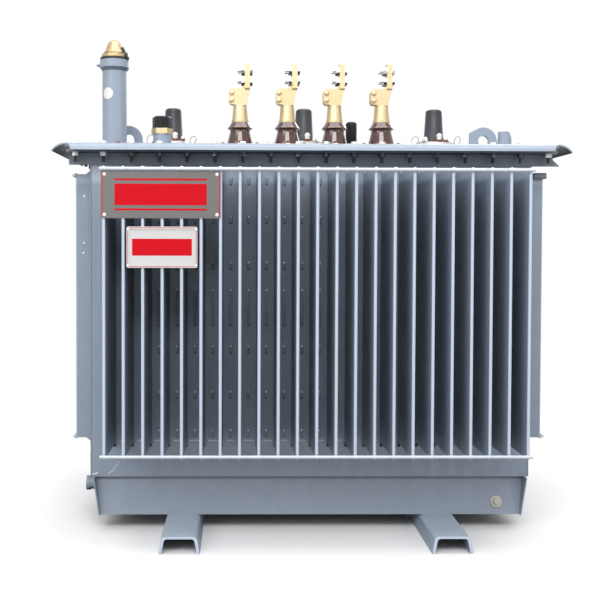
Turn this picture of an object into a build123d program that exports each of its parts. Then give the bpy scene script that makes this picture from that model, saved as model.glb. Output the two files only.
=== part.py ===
from build123d import *
import math
import os

os.makedirs("parts", exist_ok=True)

# An oil-filled distribution transformer with a corrugated tank, in millimetres.
# X runs along the tank, -Y faces the low-voltage side, Z is up from the ground.

# Skids: two channels lying web up, front to back
skid_overrun = 0
skid_width = 129
skid_splay = 9
skid_height = 55
skid_web = 7
skid_flange = 9
skid_bend = 14
skid_offset = 427
skid_hole_r = 6
skid_hole_inset = 60

# Tank
tank_length = 1480
tank_depth = 480
wall_t = 4
base_height = 125
base_end_step = 11
base_end_taper = 19
base_end_t = 4
base_end_proud = 32
base_panel_step = 18
base_panel_lean = 36
base_t = 6
base_flange = 26
base_flange_t = 4
base_flange_in = 3

# Corrugated walls
fin_bottom = 300
fin_top = 1202
fin_pitch = 60
fin_width = 10
fin_sheet = 2
fin_shoulder_out = 25
fin_shoulder_rise = 20
front_fins = 23
front_fin_depth = 260
side_fins = 7
side_fin_depth = 60
fin_tip_r = 4

# Round bars welded across the fin tips
rod_d = 10
rod_inset = 6
rod_overhang = 12
weld_gap = 0.3

# Rim of rolled angles under the lid
rim_top = 1276
rim_drop = 47
rim_leg = 60
rim_t = 8
rim_overrun = 71
rim_tail = 23
rim_tail_h = 22

# Lid with four bent drip edges
gasket_t = 8
gasket_width = 24
gasket_joint = 0.3
lid_t = 12
lid_end_gap = 2
lid_side_gap = 6
drip_t = 5
drip_drop = 25
drip_out_front = 31
drip_out_side = 48
drip_corner_cut = 24

# Low-voltage bushings
lv_count = 4
lv_pitch = 160
lv_inset = 106
lv_foot_r = 46
lv_neck_r = 33.5
lv_neck_h = 50
lv_shed_r = 43
lv_shed_h = 61
lv_crown_r = 29.5
lv_height = 81
lv_shed_edge = 3

# Low-voltage terminals
collar_r = 29
collar_h = 7
hub_low_r = 27
hub_r = 23
hub_h = 50
clamp_depth = 44
clamp_h = 58
clamp_lean = 12
clamp_boss = 16
clamp_neck_in = 3
clamp_rise = 10
clamp_round = 14
clamp_bolt_in = 11
clamp_bolt_pitch = 24
clamp_slot = 3
clamp_bolt_r = 6
flag_t = 17
flag_width = 56
flag_height = 89
flag_hole_z = 42
flag_offset = 24
flag_hole_r = 7
flag_hole_pitch = 31
flag_hole_pitch_z = 35
flag_round = 6

# High-voltage bushings
hv_count = 3
hv_pitch = 490
hv_inset = 166
hv_turret_r = 55
hv_turret_h = 29
hv_flange_r = 66
hv_flange_t = 20
hv_crown_h = 6
hv_foot_r = 38
hv_top_r = 29
hv_cone_h = 122
hv_edge = 8

# Filler tube
filler_inset = 136
filler_row = 196
filler_r = 42
filler_wall = 4
filler_height = 305
filler_flange_r = 62
filler_flange_t = 12
filler_lip_r = 50
filler_lip_drop = 38
filler_flare = 12
filler_gasket_r = 49
filler_gasket_t = 9
filler_ring_r = 44
filler_ring_t = 14
filler_dome_r = 38
filler_dome_h = 48
filler_dome_shape = [(1, 0), (0.87, 0.22), (0.74, 0.44), (0.63, 0.66), (0.47, 0.83), (0.22, 0.97), (0, 1)]
spout_r = 11
spout_tip_r = 2
spout_length = 13
spout_drop = 16

# Relief valve: short stub, hexagon nut and cap
valve_inset = 302
valve_stub_r = 32
valve_stub_h = 51
valve_nut_r = 38
valve_nut_h = 19
valve_cap_r = 32
valve_cap_h = 42
valve_cap_sides = 8
valve_cap_edge = 5

# Tap changer knob
tap_x = 162
tap_edge = 11
tap_base_r = 30
tap_base_h = 22
tap_knob_r = 20
tap_knob_h = 89

# Thermometer pocket
pocket_inset = 126
pocket_foot_r = 24
pocket_foot_h = 40
pocket_top_r = 22.5
pocket_height = 64
pocket_slant_x = 9
pocket_slant_h = 20

# Lifting lugs
lug_inset = 173
lug_r = 49
lug_foot = 56
lug_shoulder = 30
lug_shoulder_angle = 20
lug_hole_r = 19
lug_hole_z = 44
lug_t = 14

# Plates on the front fins
plate_t = 2
rating_plate_overrun = 8
rating_plate_drop = 12
rating_plate_width = 368
rating_plate_height = 146
rating_hole_inset = 11
rating_hole_r = 3
rating_corner_r = 3
small_plate_inset = 71
small_plate_gap = 25.5
small_plate_width = 218
small_plate_height = 127
small_plate_rim = 9
small_plate_rim_t = 2
small_plate_corner_r = 6

# Drain plug on the front of the base box, and a valve stub at its left end
plug_inset = 79
plug_rise = 40
plug_washer_r = 19
plug_washer_t = 4
plug_head_r = 11
plug_head_t = 9
drain_rise = 73
drain_inset = 152
drain_r = 22
drain_length = 50
drain_cap_r = 25
drain_cap_t = 13

# Places worked out from the sizes above
wall_x = tank_length / 2
wall_y = tank_depth / 2
base_top = skid_height + base_height
base_end_x = wall_x - base_end_step
base_foot_x = base_end_x - base_end_taper
base_end_y = wall_y + base_end_proud
panel_top_y = wall_y - base_panel_step
panel_foot_y = panel_top_y + base_panel_lean
fin_tip_y = wall_y + front_fin_depth
fin_tip_x = wall_x + side_fin_depth
first_fin_x = (1 - front_fins) / 2 * fin_pitch
skid_length = 2 * (fin_tip_y + skid_overrun)
rim_half_length = wall_x + rim_overrun
lid_under = rim_top + gasket_t
lid_top = lid_under + lid_t
lid_x = rim_half_length + lid_end_gap
lid_y = wall_y + rim_leg + lid_side_gap
lv_y = lv_inset - lid_y
hv_y = lid_y - hv_inset
hv_seat = lid_top + hv_turret_h + hv_flange_t + hv_crown_h
filler_x = filler_inset - lid_x
filler_y = filler_row - lid_y
valve_x = valve_inset - lid_x
pocket_x = lid_x - pocket_inset
lug_x = lid_x - lug_inset
rating_plate_x = first_fin_x - rating_plate_overrun + rating_plate_width / 2
rating_plate_z = fin_top - rating_plate_drop - rating_plate_height / 2
small_plate_x = first_fin_x + small_plate_inset + small_plate_width / 2
small_plate_z = rating_plate_z - (rating_plate_height + small_plate_height) / 2 - small_plate_gap


def box(x0, x1, y0, y1, z0, z1):
    """A block between two corners."""
    middle = ((x0 + x1) / 2, (y0 + y1) / 2, (z0 + z1) / 2)
    return Pos(*middle) * Box(x1 - x0, y1 - y0, z1 - z0)


def ring(half_x, half_y, wall, z0, z1):
    """An upright rectangular tube."""
    outer = box(-half_x, half_x, -half_y, half_y, z0, z1)
    return outer - box(wall - half_x, half_x - wall, wall - half_y, half_y - wall, z0, z1)


def turned(points, x, y, z):
    """A profile of radius and height points, turned about an upright axis."""
    profile = make_face(Polyline([(r, 0, h) for r, h in points], close=True))
    return Pos(x, y, z) * revolve(profile, Axis.Z)


def drum(radius, height, x, y, z):
    """A round upright block."""
    return Pos(x, y, z) * Cylinder(radius, height, align=(Align.CENTER, Align.CENTER, Align.MIN))


def fin_row(count, depth, length):
    """A folded wall, facing -Y: a plain sheet with hollow fins standing out of it."""
    shoulder = [(0, fin_bottom - fin_shoulder_rise), (fin_shoulder_out, fin_bottom), (depth, fin_bottom),
                (depth, fin_top), (fin_shoulder_out, fin_top), (0, fin_top + fin_shoulder_rise)]
    outside = make_face(Polyline([(0, -out, z) for out, z in shoulder], close=True))
    blade = extrude(outside, fin_width / 2, both=True, dir=(1, 0, 0))
    tips = blade.edges().filter_by(Axis.Z).group_by(Axis.Y)[0]
    blade = fillet(tips, fin_tip_r)
    low = fin_bottom - fin_shoulder_rise + fin_sheet
    high = fin_top + fin_shoulder_rise - fin_sheet
    inside = [(-wall_t, low), (0, low), (fin_shoulder_out, fin_bottom + fin_sheet),
              (depth - fin_sheet, fin_bottom + fin_sheet), (depth - fin_sheet, fin_top - fin_sheet),
              (fin_shoulder_out, fin_top - fin_sheet), (0, high), (-wall_t, high)]
    pocket = make_face(Polyline([(0, -out, z) for out, z in inside], close=True))
    slot = extrude(pocket, fin_width / 2 - fin_sheet, both=True, dir=(1, 0, 0))
    sheet = box(-length / 2, length / 2, 0, wall_t, base_top, rim_top)
    places = [Pos((i - (count - 1) / 2) * fin_pitch, 0, 0) for i in range(count)]
    wall = sheet.fuse(*[place * blade for place in places])
    return wall.cut(*[place * slot for place in places])


def rods(count, tip, turn):
    """The two round bars across the tips of a row of fins."""
    half = (count - 1) / 2 * fin_pitch + rod_overhang
    bar = Cylinder(rod_d / 2, 2 * half, rotation=(0, 90, 0))
    out = -(tip + weld_gap + rod_d / 2)
    heights = (fin_bottom + rod_inset, fin_top - rod_inset)
    return Rot(0, 0, turn) * Compound(children=[Pos(0, out, z) * bar for z in heights])


def splayed(half_width, height):
    """A face with upright sides that lean outward toward its foot."""
    top = half_width - skid_splay
    outline = [(-half_width, 0), (half_width, 0), (top, height), (-top, height)]
    return make_face(Polyline(outline, close=True))


def skid(x):
    """A channel on its splayed flanges, with rounded bends and a hole near its front."""
    outer = splayed(skid_width / 2, skid_height)
    outer = fillet(outer.vertices().group_by(Axis.Y)[-1], skid_bend)
    inner = splayed(skid_width / 2 - skid_flange, skid_height - skid_web)
    inner = fillet(inner.vertices().group_by(Axis.Y)[-1], skid_bend - skid_web / 2)
    section = Plane.XZ * (outer - inner)
    channel = extrude(section, skid_length / 2, both=True)
    hole = Pos(0, skid_hole_inset - skid_length / 2, skid_height) * Cylinder(skid_hole_r, skid_height)
    return Pos(x, 0, 0) * (channel - hole)


def base_wedge(inset, depth):
    """The base's outline seen from the front, drawn in toward the ground, run through its depth."""
    outline = [(base_end_x - inset, base_top), (base_foot_x - inset, skid_height),
               (inset - base_foot_x, skid_height), (inset - base_end_x, base_top)]
    return extrude(Plane.XZ * make_face(Polyline(outline, close=True)), depth, both=True)


def base_panel():
    """The long panel of the base that faces -Y, its foot leaning outward."""
    outline = [(-panel_top_y, base_top), (-panel_foot_y, skid_height), (base_t - panel_foot_y, skid_height),
               (base_t - panel_top_y, base_top)]
    return extrude(Plane.YZ * make_face(Polyline(outline, close=True)), base_end_x, both=True)


def base_box():
    """The tray under the walls: end plates standing proud, leaning panels, a floor and a flange."""
    ends = base_wedge(0, base_end_y) - base_wedge(base_end_t, 2 * base_end_y)
    inside = base_panel() + Rot(0, 0, 180) * base_panel()
    floor_y = panel_foot_y - base_t
    inside += box(-base_end_x, base_end_x, -floor_y, floor_y, skid_height, skid_height + base_t)
    tray = ends + (inside & base_wedge(base_end_t / 2, base_end_y))
    out_x = wall_x - base_flange_in
    out_y = wall_y - base_flange_in
    return tray + ring(out_x, out_y, base_flange, base_top - base_flange_t, base_top)


def rim_angle(length, wall):
    """A rolled angle on the wall that faces -Y, its flat leg under the lid."""
    low = rim_top - rim_drop
    leg = box(-length / 2, length / 2, -wall - rim_leg, -wall, rim_top - rim_t, rim_top)
    return leg + box(-length / 2, length / 2, -wall - rim_t, -wall, low, rim_top - rim_t)


def rim_point():
    """The slanted point that ends the front angle's upright leg on the right."""
    low = rim_top - rim_drop
    outline = [(0, low), (rim_half_length + rim_tail, low), (rim_half_length, low + rim_tail_h),
               (0, low + rim_tail_h)]
    point = extrude(Plane.XZ * make_face(Polyline(outline, close=True)), rim_t)
    return Pos(0, -wall_y, 0) * point


def drip_edge(length, reach, out, corner_cut):
    """The bent edge of the lid that faces -Y, with its ends cut back at a slant."""
    sweep_angle = 2 * math.atan(drip_drop / out)
    bend_r = out / math.sin(sweep_angle)
    centre_z = lid_top - bend_r
    band = Plane.YZ * Pos(-reach, centre_z) * (Circle(bend_r) - Circle(bend_r - drip_t))
    far = 2 * bend_r
    tip = (-reach - far * math.sin(sweep_angle), centre_z + far * math.cos(sweep_angle))
    bounds = [(-reach, centre_z), (-reach, centre_z + far), (-reach - far, centre_z + far), tip]
    wedge = Plane.YZ * make_face(Polyline(bounds, close=True))
    edge = extrude(band & wedge, length / 2, both=True)
    for side in (-1, 1):
        x = side * length / 2
        corner = make_face(Polyline([(x, -reach), (x - side * corner_cut, -reach - out),
                                     (x, -reach - out - drip_t)], close=True))
        edge -= Pos(0, 0, centre_z) * extrude(corner, far)
    return edge


def gasket():
    """The four strips of seal between the rim and the lid, butted at the corners."""
    out_x = wall_x + gasket_width - wall_t
    out_y = wall_y + gasket_width - wall_t
    end_y = out_y - gasket_width - gasket_joint
    long_strip = box(-out_x, out_x, -out_y, gasket_width - out_y, rim_top, lid_under)
    short_strip = box(-out_x, gasket_width - out_x, -end_y, end_y, rim_top, lid_under)
    turn = Rot(0, 0, 180)
    return Compound(children=[long_strip, turn * long_strip, short_strip, turn * short_strip])


def lid():
    """The flat cover plate and its four drip edges."""
    plate = box(-lid_x, lid_x, -lid_y, lid_y, lid_under, lid_top)
    for turn in (0, 180):
        plate += Rot(0, 0, turn) * drip_edge(2 * lid_x, lid_y, drip_out_front, drip_corner_cut)
        plate += Rot(0, 0, turn + 90) * drip_edge(2 * lid_y, lid_x, drip_out_side, drip_t)
    return plate


def lv_porcelain(x):
    """A cone with one shed, turned from glazed porcelain."""
    profile = [(0, 0), (lv_foot_r, 0), (lv_neck_r, lv_neck_h), (lv_shed_r, lv_shed_h),
               (lv_shed_r, lv_shed_h + lv_shed_edge), (lv_crown_r, lv_height), (0, lv_height)]
    return turned(profile, x, lv_y, lid_top)


def lv_terminal(x):
    """A brass clamp on the bushing's stud, split at its left and carrying a flag."""
    hub_z = collar_h + hub_h
    clamp_top = hub_z + clamp_h
    profile = [(0, 0), (collar_r, 0), (collar_r, collar_h), (hub_low_r, collar_h), (hub_r, hub_z),
               (0, hub_z)]
    stem = turned(profile, 0, 0, 0)
    flag_left = flag_offset - flag_t / 2
    flag_right = flag_offset + flag_t / 2
    neck = hub_r - clamp_neck_in
    outline = [(-neck, hub_z), (neck, hub_z), (flag_right, clamp_top), (flag_right, clamp_top + clamp_rise),
               (flag_left, clamp_top + clamp_rise), (flag_left - clamp_lean, clamp_top - clamp_neck_in)]
    body = extrude(Plane.XZ * make_face(Polyline(outline, close=True)), clamp_depth / 2, both=True)
    boss_left = -hub_r - clamp_boss
    boss = box(boss_left, flag_left - clamp_lean, -clamp_depth / 2, clamp_depth / 2,
               hub_z + clamp_neck_in, clamp_top - clamp_neck_in)
    boss = fillet(boss.edges().filter_by(Axis.Y).group_by(Axis.X)[0], clamp_round)
    flag_face = Pos(0, clamp_top + flag_height / 2 - flag_round) * RectangleRounded(
        flag_width, flag_height, flag_round)
    flag = Pos(flag_left, 0, 0) * extrude(Plane.YZ * flag_face, flag_t)
    clamp = body + boss + flag
    clamp -= box(boss_left, 0, -clamp_slot / 2, clamp_slot / 2, hub_z + clamp_slot, clamp_top)
    bolt_hole = Cylinder(clamp_bolt_r, 2 * clamp_depth, rotation=(90, 0, 0))
    for side in (-1, 1):
        z = hub_z + clamp_h / 2 + side * clamp_bolt_pitch / 2
        clamp -= Pos(boss_left + clamp_bolt_in, 0, z) * bolt_hole
    flag_z = clamp_top + flag_hole_z
    for dy in (-1, 1):
        for dz in (-1, 1):
            at = Pos(flag_offset, dy * flag_hole_pitch / 2, flag_z + dz * flag_hole_pitch_z / 2)
            clamp -= at * Cylinder(flag_hole_r, 3 * flag_t, rotation=(0, 90, 0))
    return Pos(x, lv_y, lid_top + lv_height) * (stem + clamp)


def hv_bushing(x):
    """A smooth tapered cone."""
    profile = [(0, 0), (hv_foot_r, 0), (hv_top_r, hv_cone_h), (0, hv_cone_h)]
    body = turned(profile, x, hv_y, hv_seat)
    return chamfer(body.edges().group_by(Axis.Z)[-1], hv_edge)


def hv_turret(x):
    """The short steel drum that lifts a high-voltage bushing off the lid."""
    return drum(hv_turret_r, hv_turret_h, x, hv_y, lid_top)


def hv_flange(x):
    """The metal flange on the turret, rising to a low crown under the cone."""
    profile = [(0, 0), (hv_flange_r, 0), (hv_flange_r, hv_flange_t), (hv_foot_r, hv_flange_t + hv_crown_h),
               (0, hv_flange_t + hv_crown_h)]
    return turned(profile, x, hv_y, lid_top + hv_turret_h)


def filler_tube():
    """The tall tube, its foot flange and its flared lip with a small spout."""
    lip_z = filler_height - filler_lip_drop
    inner = filler_r - filler_wall
    profile = [(inner, 0), (filler_flange_r, 0), (filler_flange_r, filler_flange_t),
               (filler_r, filler_flange_t), (filler_r, lip_z), (filler_lip_r, lip_z + filler_flare),
               (filler_lip_r, filler_height), (inner, filler_height)]
    tube = turned(profile, filler_x, filler_y, lid_top)
    reach = filler_lip_r + spout_length - filler_r
    spout = Cone(spout_r, spout_tip_r, reach, rotation=(0, -90, 0),
                 align=(Align.CENTER, Align.CENTER, Align.MIN))
    return tube + Pos(filler_x - filler_r, filler_y, lid_top + filler_height - spout_drop) * spout


def filler_cap():
    """The brass ring and dome on top of the tube."""
    profile = [(0, 0), (filler_ring_r, 0), (filler_ring_r, filler_ring_t)]
    profile += [(r * filler_dome_r, filler_ring_t + h * filler_dome_h) for r, h in filler_dome_shape]
    return turned(profile, filler_x, filler_y, lid_top + filler_height + filler_gasket_t)


def thermometer_pocket():
    """A round body with a narrower head whose outer side is cut at a slant."""
    profile = [(0, 0), (pocket_foot_r, 0), (pocket_foot_r, pocket_foot_h), (pocket_top_r, pocket_foot_h),
               (pocket_top_r, pocket_height), (0, pocket_height)]
    body = turned(profile, 0, 0, 0)
    low = pocket_height - pocket_slant_h
    slant = make_face(Polyline([(pocket_slant_x, pocket_height), (pocket_top_r, low), (pocket_foot_r, low),
                                (pocket_foot_r, pocket_height)], close=True))
    body -= extrude(Plane.XZ * slant, pocket_foot_r, both=True)
    return Pos(pocket_x, filler_y, lid_top) * body


def lug(x):
    """A lifting plate with a round hole: one side upright with a cut shoulder, the other rounded."""
    arch = Pos(0, lug_hole_z) * Circle(lug_r)
    turn = math.radians(lug_shoulder_angle)
    outline = [(-lug_r, 0), (lug_foot, 0), (lug_r, lug_hole_z),
               (-lug_r * math.sin(turn), lug_hole_z + lug_r * math.cos(turn)),
               (-lug_r, lug_hole_z + lug_shoulder)]
    face = arch + make_face(Polyline(outline, close=True))
    face -= Pos(0, lug_hole_z) * Circle(lug_hole_r)
    above = Pos(0, 2 * lug_r) * Rectangle(4 * lug_r, 4 * lug_r)
    return Pos(x, 0, lid_top) * extrude(Plane.XZ * (face & above), lug_t / 2, both=True)


def front_plate(x, z, width, height, corner_r):
    """A flat plate standing on the front fin tips."""
    face = Plane.XZ * RectangleRounded(width, height, corner_r)
    return Pos(x, -fin_tip_y, z) * extrude(face, plate_t)


nodes = {}
nodes["skid_left"] = skid(-skid_offset)
nodes["skid_right"] = skid(skid_offset)
nodes["base_box"] = base_box()

front_wall = Pos(0, -wall_y, 0) * fin_row(front_fins, front_fin_depth, tank_length)
side_wall = Pos(0, -wall_x, 0) * fin_row(side_fins, side_fin_depth, tank_depth - 2 * wall_t)
nodes["fin_wall_front"] = front_wall
nodes["fin_wall_back"] = Rot(0, 0, 180) * front_wall
nodes["fin_wall_left"] = Rot(0, 0, -90) * side_wall
nodes["fin_wall_right"] = Rot(0, 0, 90) * side_wall

nodes["fin_rods_front"] = rods(front_fins, fin_tip_y, 0)
nodes["fin_rods_back"] = rods(front_fins, fin_tip_y, 180)
nodes["fin_rods_sides"] = Compound(children=[rods(side_fins, fin_tip_x, turn) for turn in (-90, 90)])

long_angle = rim_angle(2 * rim_half_length, wall_y)
short_angle = rim_angle(tank_depth, wall_x)
nodes["rim_front"] = long_angle + rim_point()
nodes["rim_back"] = Rot(0, 0, 180) * long_angle
nodes["rim_left"] = Rot(0, 0, -90) * short_angle
nodes["rim_right"] = Rot(0, 0, 90) * short_angle
nodes["lid_gasket"] = gasket()
nodes["lid"] = lid()

for i in range(lv_count):
    bushing_x = (i - (lv_count - 1) / 2) * lv_pitch
    nodes[f"lv_bushing_{i + 1}"] = lv_porcelain(bushing_x)
    nodes[f"lv_terminal_{i + 1}"] = lv_terminal(bushing_x)

hv_places = [(i - (hv_count - 1) / 2) * hv_pitch for i in range(hv_count)]
for i, bushing_x in enumerate(hv_places):
    nodes[f"hv_bushing_{i + 1}"] = hv_bushing(bushing_x)
nodes["hv_turrets"] = Compound(children=[hv_turret(x) for x in hv_places])
nodes["hv_flanges"] = Compound(children=[hv_flange(x) for x in hv_places])

nodes["filler_tube"] = filler_tube()
nodes["filler_gasket"] = drum(filler_gasket_r, filler_gasket_t, filler_x, filler_y, lid_top + filler_height)
nodes["filler_cap"] = filler_cap()

nodes["valve_stub"] = drum(valve_stub_r, valve_stub_h, valve_x, filler_y, lid_top)
valve_nut_z = lid_top + valve_stub_h
valve_nut = extrude(RegularPolygon(valve_nut_r, 6), valve_nut_h)
nodes["valve_nut"] = Pos(valve_x, filler_y, valve_nut_z) * valve_nut
cap_face = RegularPolygon(valve_cap_r, valve_cap_sides, major_radius=False)
valve_cap = extrude(cap_face, valve_cap_h)
valve_cap = chamfer(valve_cap.faces().sort_by(Axis.Z)[-1].edges(), valve_cap_edge)
nodes["valve_cap"] = Pos(valve_x, filler_y, valve_nut_z + valve_nut_h) * valve_cap

tap = drum(tap_base_r, tap_base_h, tap_x, 0, lid_top)
tap += drum(tap_knob_r, tap_base_h + tap_knob_h, tap_x, 0, lid_top)
nodes["tap_changer"] = chamfer(tap.edges().group_by(Axis.Z)[-1], tap_edge)

nodes["thermometer_pocket"] = thermometer_pocket()
nodes["lug_left"] = lug(-lug_x)
nodes["lug_right"] = lug(lug_x)

rating = front_plate(rating_plate_x, rating_plate_z, rating_plate_width, rating_plate_height,
                     rating_corner_r)
rating_hole = Cylinder(rating_hole_r, 4 * plate_t, rotation=(90, 0, 0))
for sx in (-1, 1):
    for sz in (-1, 1):
        hole_x = rating_plate_x + sx * (rating_plate_width / 2 - rating_hole_inset)
        hole_z = rating_plate_z + sz * (rating_plate_height / 2 - rating_hole_inset)
        rating -= Pos(hole_x, -fin_tip_y, hole_z) * rating_hole
nodes["rating_plate"] = rating

small = front_plate(small_plate_x, small_plate_z, small_plate_width, small_plate_height,
                    small_plate_corner_r)
frame_face = RectangleRounded(small_plate_width, small_plate_height, small_plate_corner_r)
frame_face -= Rectangle(small_plate_width - 2 * small_plate_rim, small_plate_height - 2 * small_plate_rim)
frame = extrude(Plane.XZ * frame_face, small_plate_rim_t)
nodes["small_plate"] = small + Pos(small_plate_x, -fin_tip_y - plate_t, small_plate_z) * frame

plug_slope = base_panel_lean / base_height
plug_face = plug_slope * plug_rise - panel_foot_y
plug_x = base_foot_x - plug_inset
plug = drum(plug_washer_r, plug_washer_t, 0, 0, 0)
plug += Pos(0, 0, plug_washer_t) * extrude(RegularPolygon(plug_head_r, 6), plug_head_t)
plug_turn = Rot(90 - math.degrees(math.atan(plug_slope)), 0, 0)
nodes["drain_plug"] = Pos(plug_x, plug_face, skid_height + plug_rise) * plug_turn * plug

drain = drum(drain_r, drain_length, 0, 0, 0) + drum(drain_cap_r, drain_cap_t, 0, 0, drain_length)
drain_place = Pos(-base_foot_x, drain_inset - base_end_y, skid_height + drain_rise)
nodes["drain_stub"] = drain_place * Rot(0, -90, 0) * drain - base_wedge(0, base_end_y)

for name, shape in nodes.items():
    export_step(shape, f"parts/{name}.step")
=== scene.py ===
import math
import random

import bmesh
import bpy
from mathutils import Matrix, Vector


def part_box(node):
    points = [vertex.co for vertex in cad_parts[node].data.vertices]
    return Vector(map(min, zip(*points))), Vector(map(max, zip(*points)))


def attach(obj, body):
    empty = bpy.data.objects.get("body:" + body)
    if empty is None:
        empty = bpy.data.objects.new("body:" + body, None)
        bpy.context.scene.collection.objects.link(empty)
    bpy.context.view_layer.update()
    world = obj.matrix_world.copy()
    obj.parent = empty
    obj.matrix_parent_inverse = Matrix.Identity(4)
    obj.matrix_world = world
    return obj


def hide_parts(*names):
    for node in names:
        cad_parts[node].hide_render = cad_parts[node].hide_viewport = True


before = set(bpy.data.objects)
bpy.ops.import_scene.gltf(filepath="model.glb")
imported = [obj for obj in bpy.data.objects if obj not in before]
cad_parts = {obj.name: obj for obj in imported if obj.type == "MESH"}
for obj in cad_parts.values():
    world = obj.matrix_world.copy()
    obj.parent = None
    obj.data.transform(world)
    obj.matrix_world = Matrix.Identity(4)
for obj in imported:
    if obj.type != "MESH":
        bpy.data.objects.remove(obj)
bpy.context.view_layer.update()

chance = random.Random(17)

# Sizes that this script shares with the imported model, in metres
WALL_THICK = 0.004
FIN_PITCH = 0.060
FIN_WIDTH = 0.010
FRONT_FINS = 23
SIDE_FINS = 7
ROD_D = 0.010
RIM_THICK = 0.008
LV_COUNT = 4
LV_PITCH = 0.160
HV_COUNT = 3


def span(node):
    """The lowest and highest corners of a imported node."""
    low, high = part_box(node)
    return Vector(low), Vector(high)


def centre(node):
    """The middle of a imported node's box."""
    low, high = span(node)
    return (low + high) / 2


LID_TOP = span("lid")[1].z
RIM_LOW, RIM_HIGH = span("rim_front")
WALL_LOW, WALL_HIGH = span("fin_wall_front")
BASE_TOP = span("base_box")[1].z
TIP_Y = WALL_LOW.y
WALL_X = WALL_HIGH.x
WALL_Y = WALL_HIGH.y - WALL_THICK
SIDE_TIP_X = -span("fin_wall_left")[0].x


# Steps of a shader tree

FLOAT = "NodeSocketFloat"
COLOR = "NodeSocketColor"
VECTOR = "NodeSocketVector"


def add(tree, kind, links=None, **settings):
    """A node with its settings, and its inputs linked or set by name."""
    node = tree.nodes.new(kind)
    for key, value in settings.items():
        setattr(node, key, value)
    for key, value in (links or {}).items():
        if isinstance(value, bpy.types.NodeSocket):
            tree.links.new(value, node.inputs[key])
        else:
            node.inputs[key].default_value = value
    return node


def maths(tree, operation, first, second=0.5):
    """One step of arithmetic on one or two values."""
    return add(tree, "ShaderNodeMath", {0: first, 1: second}, operation=operation).outputs[0]


def ranged(tree, value, low, high, least=0.0, most=1.0):
    """A value taken from the range low to high into the range least to most."""
    links = {"Value": value, "From Min": low, "From Max": high, "To Min": least, "To Max": most}
    return add(tree, "ShaderNodeMapRange", links).outputs[0]


def noise(tree, place, scale, detail, roughness):
    """Soft noise over a place."""
    links = {"Vector": place, "Scale": scale, "Detail": detail, "Roughness": roughness}
    return add(tree, "ShaderNodeTexNoise", links).outputs[0]


def stretched(tree, place, factors):
    """A place scaled along each axis."""
    return add(tree, "ShaderNodeVectorMath", {0: place, 1: factors}, operation="MULTIPLY").outputs[0]


def axes(tree, vector):
    """The X, Y and Z of a vector, by name."""
    return add(tree, "ShaderNodeSeparateXYZ", {"Vector": vector}).outputs


def normal_axes(tree):
    """The X, Y and Z of the surface's normal, by name."""
    return axes(tree, add(tree, "ShaderNodeNewGeometry").outputs["Normal"])


def facing(tree, low, high):
    """Rises as the normal's Z goes from low to high, so a low above the high finds undersides."""
    return ranged(tree, normal_axes(tree)["Z"], low, high)


def blend_colour(tree, mask, under, over):
    """One colour laid over another where a mask is high."""
    mix = add(tree, "ShaderNodeMix", {"Factor": mask}, data_type="RGBA")
    for label, value in (("A", under), ("B", over)):
        if isinstance(value, bpy.types.NodeSocket):
            tree.links.new(value, mix.inputs[label])
        else:
            mix.inputs[label].default_value = (*value, 1)
    return mix.outputs["Result"]


# Node groups for the effects that several finishes share

def new_group(name, inputs, outputs):
    """An empty shader node group with named inputs and outputs."""
    group = bpy.data.node_groups.new(name, "ShaderNodeTree")
    for label, kind, value in inputs:
        socket = group.interface.new_socket(name=label, in_out="INPUT", socket_type=kind)
        if value is not None:
            socket.default_value = value
    for label, kind in outputs:
        group.interface.new_socket(name=label, in_out="OUTPUT", socket_type=kind)
    return group, group.nodes.new("NodeGroupInput").outputs, group.nodes.new("NodeGroupOutput").inputs


def mottle_group():
    """Two sizes of soft noise that lighten and darken a colour by an amount."""
    group, given, out = new_group(
        "mottle",
        [("Vector", VECTOR, None), ("Colour", COLOR, (0.5, 0.5, 0.5, 1)),
         ("Other", COLOR, (0.4, 0.4, 0.4, 1)), ("Scale", FLOAT, 6.0), ("Amount", FLOAT, 0.5)],
        [("Colour", COLOR), ("Mask", FLOAT)])
    broad = noise(group, given["Vector"], given["Scale"], 4.0, 0.6)
    fine = noise(group, given["Vector"], maths(group, "MULTIPLY", given["Scale"], 9.0), 3.0, 0.7)
    mask = ranged(group, maths(group, "ADD", broad, fine), 0.75, 1.25)
    share = maths(group, "MULTIPLY", mask, given["Amount"])
    group.links.new(blend_colour(group, share, given["Colour"], given["Other"]), out["Colour"])
    group.links.new(mask, out["Mask"])
    return group


def runs_group():
    """Upright streaks, as rain leaves on paint below an edge."""
    group, given, out = new_group(
        "rain_runs", [("Vector", VECTOR, None), ("Width", FLOAT, 60.0)], [("Mask", FLOAT)])
    streaks = noise(group, stretched(group, given["Vector"], (1.0, 1.0, 0.05)), given["Width"], 5.0, 0.65)
    group.links.new(ranged(group, streaks, 0.52, 0.78), out["Mask"])
    return group


def dust_group():
    """Pale dust that settles in patches where a surface looks up."""
    group, given, out = new_group(
        "settled_dust", [("Vector", VECTOR, None), ("Amount", FLOAT, 0.4)], [("Mask", FLOAT)])
    patches = ranged(group, noise(group, given["Vector"], 14.0, 6.0, 0.7), 0.35, 0.7)
    dusty = maths(group, "MULTIPLY", facing(group, 0.55, 1.0), patches)
    group.links.new(maths(group, "MULTIPLY", dusty, given["Amount"]), out["Mask"])
    return group


def brushed_group():
    """Fine parallel scratches along X, as a mask."""
    group, given, out = new_group(
        "brushing", [("Vector", VECTOR, None), ("Scale", FLOAT, 900.0)], [("Mask", FLOAT)])
    along = stretched(group, given["Vector"], (0.02, 1.0, 1.0))
    group.links.new(noise(group, along, given["Scale"], 4.0, 0.8), out["Mask"])
    return group


MOTTLE = mottle_group()
RUNS = runs_group()
DUST = dust_group()
BRUSHING = brushed_group()


# Finishes

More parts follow.
